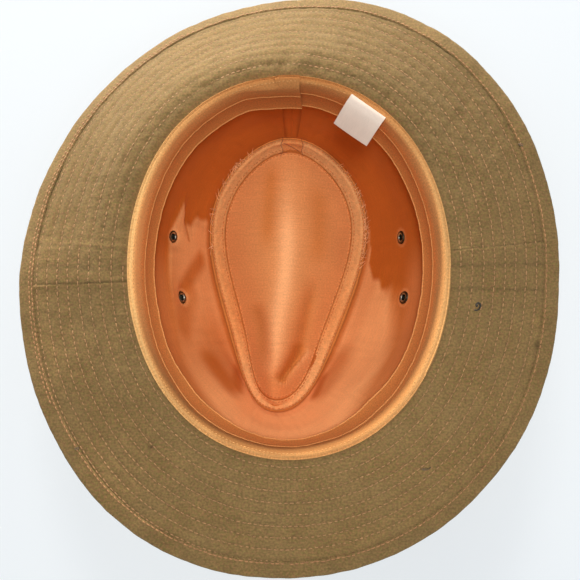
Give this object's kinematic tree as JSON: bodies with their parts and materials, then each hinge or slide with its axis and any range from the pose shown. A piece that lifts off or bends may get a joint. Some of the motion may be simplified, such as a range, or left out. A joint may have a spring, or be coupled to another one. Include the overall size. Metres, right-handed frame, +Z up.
{
  "type": "fedora",
  "caption": "Sewn cotton fedora lying on its crown: stitched turned-up brim with a bound edge, teardrop crown, satin lining and sweatband, vent eyelets; worn on the head.",
  "frame": {"origin": "middle of the outline on the surface under the crown, where the ridge of the upside-down crown rests", "axes": "+Z up out of the opening, -Y towards the front of the hat, +X towards the wearer's right"},
  "size_m": [0.2894, 0.314, 0.1056],
  "materials": {
    "cotton_cloth": "khaki cotton twill, matt",
    "satin_lining": "copper orange satin, soft sheen",
    "aged_brass": "aged, dark in the recesses",
    "label_cloth": "cream woven tape, matt"
  },
  "bodies": {
    "root": {"brim": "cotton_cloth", "brim_binding": "cotton_cloth", "crown_side": "cotton_cloth", "crown_tip": "cotton_cloth", "lining_side": "satin_lining", "lining_tip": "satin_lining", "tip_seam_band": "satin_lining", "back_seam_tape": "satin_lining", "sweatband": "satin_lining", "eyelet_left_back": "aged_brass", "eyelet_left_front": "aged_brass", "eyelet_right_back": "aged_brass", "eyelet_right_front": "aged_brass", "label_tab": "label_cloth"}
  },
  "joints": []
}
